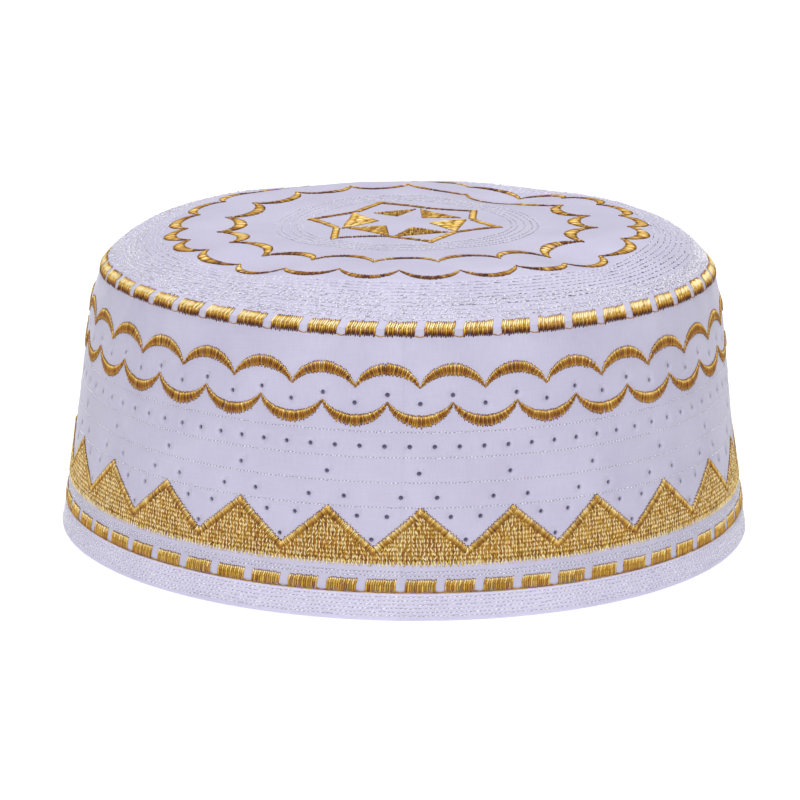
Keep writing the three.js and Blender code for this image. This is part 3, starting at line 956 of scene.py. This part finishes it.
def dash_ring(low, count, first_gap, lean, low_tones, high_tones):
    """Bars between even gaps, and a joining thread that sags across each gap. A bar is sewn twice:
    short upright teeth along its low edge, and over their ends slanted stitches up to its high one."""
    radius = float(wall_radius(low, 0.0))
    gap = dash_gap / radius
    bar = full_turn / count - gap
    each = round(bar * radius / satin_pitch)
    within = (np.arange(each) + 0.5) / each
    begin = spread(count, first_gap) + gap / 2
    foot = (begin[:, None] + bar * within).ravel()
    parts = []
    for (start_share, end_share, slant), tones in ((teeth, low_tones), (slants, high_tones)):
        off = chance.normal(0, 0.09 * mm, (2, len(foot)))
        start_turn = foot + lean * (start_share - 0.5 - slant / 2) / radius
        end_turn = foot + lean * (end_share - 0.5 + slant / 2) / radius
        start = side_by_side(start_turn, low + dash_height * start_share + off[0])
        end = side_by_side(end_turn, low + dash_height * end_share + off[1])
        parts.append(satin(on_side, start, end, tones, scatter=0.09))
    overlap = 0.3 * mm / radius
    stops = [begin - gap - overlap, begin - gap / 2, begin + overlap]
    heights = [low + 0.15 * mm, low - 0.3 * mm, low + 0.15 * mm]
    spots = [side_by_side(stop, height) for stop, height in zip(stops, heights)]
    for first, last in zip(spots[:-1], spots[1:]):
        parts.append(stitches(on_side, first, last, 0.3 * mm, 0.1 * mm, (0.3, 0.4), 0.06, lift=0.1 * mm))
    return parts


def ground_line(height, count):
    """One thin brown thread laid round the side in long stitches."""
    turned = spread(count, 0.0)
    start = side_by_side(turned, height)
    end = side_by_side(turned + full_turn / count * 1.05, height)
    return [stitches(on_side, start, end, 0.3 * mm, 0.1 * mm, (0.35, 0.6, 0.35), 0.1, lift=0.04 * mm)]


# tones along the teeth and the slants: their low values are painted shade, and the values near 1 towards the
# slants' high ends a painted highlight
painted_shade_teeth = (-0.1, -0.08, 0.12, 0.4, 0.7, 0.7)
gold_teeth = (0.15, 0.4, 0.5, 0.55, 0.55, 0.55)
painted_highlight_slants = (0.3, 0.62, 0.95, 1.05, 0.8, -0.1)
orange_slants = (0.3, 0.55, 0.66, 0.66, 1.1, -0.2)
upper_ring = (wall_height - 1.7 * mm, upper_dash_count, math.radians(2.44), 0.7 * mm)
lower_ring = (hem_height + 0.3 * mm, lower_dash_count, math.radians(-0.39), 0.4 * mm)
upper_dashes = dash_ring(*upper_ring, painted_shade_teeth, painted_highlight_slants)
lower_dashes = dash_ring(*lower_ring, gold_teeth, orange_slants)
lower_dashes += ground_line(hem_height + 0.05 * mm, 4 * lower_dash_count)
gold_piece("gold_upper_dashes", upper_dashes, ["upper_dash_ring"])
gold_piece("gold_lower_dashes", lower_dashes, ["lower_dash_ring"])

# %% [markdown]
# ## Scallops
# Two rings of crescents face each other across the side, and two more lie on the crown. A crescent
# is the space between two round arches. Its stitches cross it at right angles to its middle line.

# %% One crescent
def arch_fall(share, half_width, rise):
    """How far a circular arch has fallen at a share of its half width."""
    bend = (half_width**2 + rise**2) / (2 * rise)
    return bend - np.sqrt(bend**2 - (share * half_width) ** 2)


def crescent(half_width, reach, widest, tip, pitch):
    """Low and high edge of each stitch of one crescent that arches up, from its crest's height.

    The middle line lies half way between the two arches. Stitches stand at even steps along it,
    at right angles, as long as the space between the arches is wide there."""
    share = np.linspace(-1, 1, 401)
    outer = -arch_fall(share, half_width, reach)
    inner = -widest - arch_fall(share, half_width, reach - widest + tip)
    line = side_by_side(share * half_width, (outer + inner) / 2)
    run = np.concatenate([[0], np.cumsum(np.linalg.norm(np.diff(line, axis=0), axis=1))])
    count = round(run[-1] / pitch)
    stops = (np.arange(count) + 0.5) / count * run[-1]
    way = np.gradient(line, axis=0)
    middle, way = [np.stack([np.interp(stops, run, row) for row in rows.T], axis=-1) for rows in (line, way)]
    way = unit(way)
    across = side_by_side(-way[:, 1], way[:, 0])
    length = np.interp(stops, run, outer - inner) * way[:, 0]
    return middle - across * length[:, None] / 2, middle + across * length[:, None] / 2


print("a crescent 18 mm wide:", len(crescent(9 * mm, 6 * mm, 3 * mm, mm, mm / 2)[0]), "stitches")

# %% Rings of crescents
# a crescent's size on the side and on the crown: its widest place, its tips and its stitches' pitch
side_crescent = (3.0 * mm, 0.8 * mm, 0.54 * mm)
crown_crescent = (2.8 * mm, 0.7 * mm, 0.5 * mm)
side_reach = 5.9 * mm
# tones across a crescent: the low ones at both ends are painted shade where the stitches go into the cloth,
# and 0.95 near the high edge of the side's crescents a painted highlight
side_tones = (-0.1, 0.5, 0.27, 0.2, 0.25, 0.45, 0.95, -0.1)
crown_tones = (0.05, 0.38, 0.52, 0.52, 0.38, 0.05)


def side_scallops(level, first, flip):
    """The crescent repeated round the side at its crest's height, upside down where flip is -1."""
    radius = float(wall_radius(level, 0.0))
    low, high = crescent(math.pi * radius / scallop_count, side_reach, *side_crescent)
    middles = spread(scallop_count, first)
    edges = [round_side(edge, middles, level, radius, flip) for edge in (low, high)[::flip]]
    edges = [uneven(edge, 0.07 * mm, radius) for edge in edges]
    return [satin(on_side, *edges, side_tones, width=0.64 * mm, scatter=0.08, rings=7)]


def crown_scallops(count, first, points, crest, side):
    """The crescent bent round the crown, its arch outwards where side is 1 and inwards where -1,
    and fuller at the cap's sides than at its front and back."""
    low, high = crescent(math.pi * crest / count, abs(crest - points) + 0.4 * mm, *crown_crescent)
    middles = (first + full_turn * (np.arange(count) + 0.5) / count)[:, None]
    fuller = 0.8 + 0.45 * np.sin(middles[..., None]) ** 2
    edges = []
    for edge in (low, high):
        edge = (low + high) / 2 + (edge - (low + high) / 2) * fuller
        away = crest + side * edge[..., 1]
        edges.append(on_ring(away, middles + edge[..., 0] / crest).reshape(-1, 2))
    edges = [uneven(edge, 0.06 * mm) for edge in edges]
    # shift: a painted sheen by the stitches' way
    shift = painted_lustre(*edges, 0.5, 0.36)
    return [satin(on_crown, *edges, crown_tones, rise=0.1 * mm, scatter=0.2, shift=shift, rings=5)]


upper_scallops = side_scallops(66.2 * mm, scallop_turn + half_scallop, 1)
lower_scallops = side_scallops(50.1 * mm, scallop_turn, -1)
outer_lobes = crown_scallops(24, math.radians(-1.8), 60.8 * mm, 66.5 * mm, 1)
inner_lobes = crown_scallops(19, math.radians(-9.7), 52.0 * mm, 44.4 * mm, -1)
gold_piece("gold_upper_scallops", upper_scallops, ["upper_scallop_ring"])
gold_piece("gold_lower_scallops", lower_scallops, ["lower_scallop_ring"])
gold_piece("gold_outer_lobes", outer_lobes, ["crown_outer_scallop_ring"])
gold_piece("gold_inner_lobes", inner_lobes, ["crown_inner_scallop_ring"])

# %% [markdown]
# ## Band of triangles
# Gold triangles stand on one straight edge. A satin border follows the zigzag. Inside it the
# cloth is filled with upright rows of short stitches in gold and cream, which end below as a comb.

# %% Zigzag border and fill
zigzag_base = 14.8 * mm
zigzag_valley = 19.3 * mm
zigzag_peak = 29.7 * mm
border_width = 2.3 * mm
border_pitch = 0.5 * mm
# border tones from outer to inner edge: the dark first value is painted shade where the stitches go in, and
# the falling values towards the inner edge are painted shade too
border_tones = (-0.25, 0.85, 0.7, 0.42, 0.3, 0.25)
column_pitch = 0.48 * mm
stitch_step = 1.12 * mm
zigzag_radius = float(wall_radius(22 * mm, 0.0))


def zigzag_top(angle):
    """Height of the zigzag: straight from each peak down to the valley half a repeat away."""
    place = ((angle - zigzag_turn) * zigzag_count / full_turn) % 1
    return zigzag_valley + (zigzag_peak - zigzag_valley) * np.abs(1 - 2 * place)


def zigzag_border():
    """Satin stitches at right angles to both slopes of each triangle, just inside its outline, and a
    fan of stitches under each valley, where those of the two slopes part."""
    half_base = math.pi * zigzag_radius / zigzag_count
    fall = zigzag_peak - zigzag_valley
    slope = np.array([half_base, -fall])
    length = np.linalg.norm(slope)
    inwards = np.array([-fall, -half_base]) / length
    count = round(length / border_pitch)
    steps = ((np.arange(count) + 0.5) / count)[:, None] * slope
    pairs = [(steps * [side, 1], steps * [side, 1] + inwards * border_width * [side, 1]) for side in (1, -1)]
    open_way = math.atan2(-inwards[0], -inwards[1])
    fan = np.linspace(-open_way, open_way, 7)[1:-1]
    down = side_by_side(np.sin(fan), -np.cos(fan))
    pairs.append((slope + 0.1 * border_width * down, slope + 0.95 * border_width * down))
    peaks = spread(zigzag_count, zigzag_turn)
    shape = {"width": 0.5 * mm, "rise": 0.24 * mm, "scatter": 0.14}
    parts = []
    for outer, inner in pairs:
        edges = [round_side(edge, peaks, zigzag_peak, zigzag_radius) for edge in (inner, outer)]
        inner_edge, outer_edge = [uneven(edge, 0.06 * mm, zigzag_radius) for edge in edges]
        parts.append(satin(on_side, outer_edge, inner_edge, border_tones, **shape))
    return parts


def zigzag_ground():
    """Broad flat upright strands from the base to the zigzag, as the ground under all the rest."""
    turned = spread(round(full_turn * zigzag_radius / mm), 0)
    start = side_by_side(turned, zigzag_base + 0.3 * mm)
    end = side_by_side(turned, zigzag_top(turned) - 0.9 * mm)
    shape = {"rings": 7, "thick": 0.12, "lift": 0.06 * mm}
    # the ground is real underlay, and its low tone shows as painted shade in the gaps between the fill's
    # columns
    return [stitches(on_side, start, end, 1.5 * mm, 0.03 * mm, (0.28, 0.36), 0.08, **shape)]


def zigzag_fill():
    """Upright columns of short stitches from the base to the border. Every second column starts
    lower, which makes the comb, is paler, and is set off by half a stitch."""
    columns = round(full_turn * zigzag_radius / column_pitch / 2) * 2
    angle = spread(columns, 0)
    odd = np.arange(columns) % 2
    room = zigzag_top(angle) - border_width * 1.15 - zigzag_base
    deepest = math.ceil(room.max() / stitch_step) + 1
    order = np.arange(deepest)[:, None]
    low = zigzag_base - 0.6 * mm * odd + stitch_step * (order - 0.5 * odd * (order > 0))
    high = low + stitch_step * 1.15
    kept = low < zigzag_base + room - 0.2 * mm
    high = np.minimum(high, zigzag_base + room + 0.4 * mm)
    lean = chance.normal(0, 0.2 * mm, low.shape) / zigzag_radius
    spots = angle + chance.normal(0, 0.09 * mm, low.shape) / zigzag_radius
    low = low + chance.normal(0, 0.1 * mm, low.shape) * (order > 0)
    start = side_by_side((spots - lean)[kept], low[kept])
    end = side_by_side((spots + lean)[kept], high[kept])
    shape = {"rings": 3, "thick": 0.6, "lift": 0.08 * mm}
    # each stitch is brightest in its middle, and its darker ends are painted shade where it goes into the
    # cloth
    *mesh, tones = stitches(on_side, start, end, 0.42 * mm, 0.2 * mm, (0.38, 0.82, 0.5), 0.2, **shape)
    pale = np.broadcast_to(odd, low.shape)[kept][:, None]
    return [(*mesh, tones + 0.44 * pale - 0.13)]


zigzag_parts = zigzag_ground() + zigzag_fill() + zigzag_border()
gold_piece("gold_zigzag", zigzag_parts, ["zigzag_band"])

# %% [markdown]
# ## Star
# The star's outline is a narrow satin line with twelve corners. Six gold triangles inside it leave a
# white star between them. It was sewn by hand and no two corners are alike, so they stand in two
# tables. Stitches run in three directions, and each direction has its own tone, a painted sheen.

# %% Star outline and triangles
star_middle = np.array([-0.8, 0.0]) * mm
star_valley = 20.2 * mm
star_line = 2.0 * mm
star_inner = 7.1 * mm
star_pitch = 0.5 * mm
longest_stitch = 3.2 * mm
# tips of the outline: reach in mm, degrees
star_tips = np.array([(27.2, 195), (27.9, 255), (28.2, 315), (28.5, 375.5), (27.6, 437), (26.1, 489)])
# triangles: degrees of the inner corner, then reach in mm and degrees of both outer corners, then
# degrees of the stitches' way and tone, a painted sheen for that way
star_triangles = [
    (195.0, 16.3, 168.9, 14.5, 215.6, 90, 0.42),
    (257.0, 18.9, 227.8, 18.2, 291.6, 15, 0.6),
    (316.0, 16.6, 291.7, 19.0, 347.6, 60, 0.52),
    (16.0, 19.7, 351.6, 17.9, 401.9, 90, 0.42),
    (76.0, 18.6, 48.8, 17.5, 102.5, 15, 0.6),
    (136.0, 16.4, 108.7, 16.8, 164.3, 60, 0.52),
]


def star_line_stitches():
    """Satin stitches between the outline's edges and the same edges one line width inside."""
    tip_angles = np.radians(star_tips[:, 1])
    valley_angles = (tip_angles + np.roll(tip_angles, -1)) / 2
    valley_angles[-1] += math.pi
    tips = star_middle + on_ring(star_tips[:, 0] * mm, tip_angles)
    valleys = star_middle + on_ring(star_valley, valley_angles)
    outer = np.stack([tips, valleys], axis=1).reshape(12, 2)
    end = np.roll(outer, -1, axis=0)
    length = np.linalg.norm(end - outer, axis=1)
    count = round(float(length.mean()) / satin_pitch)
    share = ((np.arange(count) + 0.5) / count)[None, :, None]
    line = outer[:, None] * (1 - share) + end[:, None] * share
    way = unit(end - outer)
    inwards = side_by_side(-way[:, 1], way[:, 0])[:, None]
    high, low = [uneven(edge, 0.06 * mm).reshape(-1, 2) for edge in (line, line + inwards * star_line)]
    # shift: a painted sheen by the stitches' way
    shift = painted_lustre(low, high, 0.42, 0.24)
    return [satin(on_crown, low, high, crown_tones, rise=0.12 * mm, scatter=0.16, shift=shift, rings=5)]


def star_triangle(inner_angle, reach_a, angle_a, reach_b, angle_b, stitch_way, tone):
    """One triangle filled with straight stitches in a given direction across its outline."""
    reach = np.array([star_inner, reach_a * mm, reach_b * mm])
    corners = star_middle + on_ring(reach, np.radians([inner_angle, angle_a, angle_b]))
    way = np.array([math.cos(math.radians(stitch_way)), math.sin(math.radians(stitch_way))])
    side = np.array([-way[1], way[0]])
    across = corners @ side
    along = corners @ way
    order = np.argsort(across)
    stops = np.arange(across[order[0]] + 0.25 * mm, across[order[2]] - 0.1 * mm, star_pitch)
    long_edge = np.interp(stops, across[order[[0, 2]]], along[order[[0, 2]]])
    short_edge = np.interp(stops, across[order], along[order])
    low, high = np.minimum(long_edge, short_edge), np.maximum(long_edge, short_edge)
    pieces = []
    for place, first, last in zip(stops, low, high):
        cuts = np.linspace(first, last, max(1, math.ceil((last - first) / longest_stitch)) + 1)
        pieces += [(place, a, b) for a, b in zip(cuts[:-1], cuts[1:])]
    place, first, last = np.array(pieces).T
    start = place[:, None] * side + (first - 0.15 * mm)[:, None] * way
    end = place[:, None] * side + (last + 0.15 * mm)[:, None] * way
    # the triangle's tone is a painted sheen for its stitches' way, and each stitch's darker ends are painted
    # shade
    tones = (tone - 0.15, tone, tone + 0.1, tone, tone - 0.15)
    return [satin(on_crown, start, end, tones, rise=0.14 * mm, scatter=0.18, rings=5)]


gold_piece("gold_star_line", star_line_stitches(), ["star_outline"])
for number, row in enumerate(star_triangles, 1):
    gold_piece(f"gold_star_triangle_{number}", star_triangle(*row), [f"star_triangle_{number}"])

# %% [markdown]
# ## Floor and light
# The cap stands on a white table in a bright studio. A wide pale floor reaches past the picture's
# edges and glows a little, because the photograph's background is pure white. One large soft light
# stands in front and above, and a weaker one hangs over the crown.

# %% Stage
floor_glow = 0.57


def stage_floor():
    """A wide flat square just under the hem."""
    half = 8.0
    corners = np.array([(-half, -half, 0), (half, -half, 0), (half, half, 0), (-half, half, 0)])
    mesh = bpy.data.meshes.new("floor")
    mesh.from_pydata((corners - [0, 0, 0.02 * mm]).tolist(), [], [(0, 1, 2, 3)])
    material, _, shader = new_material("pale_floor", Roughness=0.9, Specular_IOR_Level=0.1)
    shader.inputs["Base Color"].default_value = (0.6, 0.6, 0.6, 1)
    shader.inputs["Emission Color"].default_value = (1, 1, 1, 1)
    shader.inputs["Emission Strength"].default_value = floor_glow
    mesh.materials.append(material)
    floor = bpy.data.objects.new("floor", mesh)
    bpy.context.scene.collection.objects.link(floor)


def soft_light(name, place, power, size):
    """A square area light at a place, turned towards the middle of the cap."""
    data = bpy.data.lights.new(name, "AREA")
    data.energy = power
    data.size = size
    light = bpy.data.objects.new(name, data)
    bpy.context.scene.collection.objects.link(light)
    aim = np.array([0, 0, aim_height]) - np.array(place)
    tilt = math.atan2(math.hypot(aim[0], aim[1]), -aim[2])
    heading = math.atan2(aim[1], aim[0]) - math.pi / 2
    light.matrix_world = (
        Matrix.Translation(place)
        @ Matrix.Rotation(heading, 4, "Z")
        @ Matrix.Rotation(tilt, 4, "X")
    )
    print(f"{name}: {power} W, {np.linalg.norm(aim):.2f} m away")


stage_floor()
soft_light("front_light", (-0.2, -3.2, 2.4), 86, 1.6)
soft_light("top_light", (0.05, 0.3, 2.6), 54, 1.2)
world = bpy.data.worlds.new("studio")
world.use_nodes = True
sky = world.node_tree.nodes["Background"]
sky.inputs["Color"].default_value = (0.97, 0.98, 1.0, 1)
sky.inputs["Strength"].default_value = 0.1
bpy.context.scene.world = world
bpy.context.scene.view_settings.view_transform = "Standard"
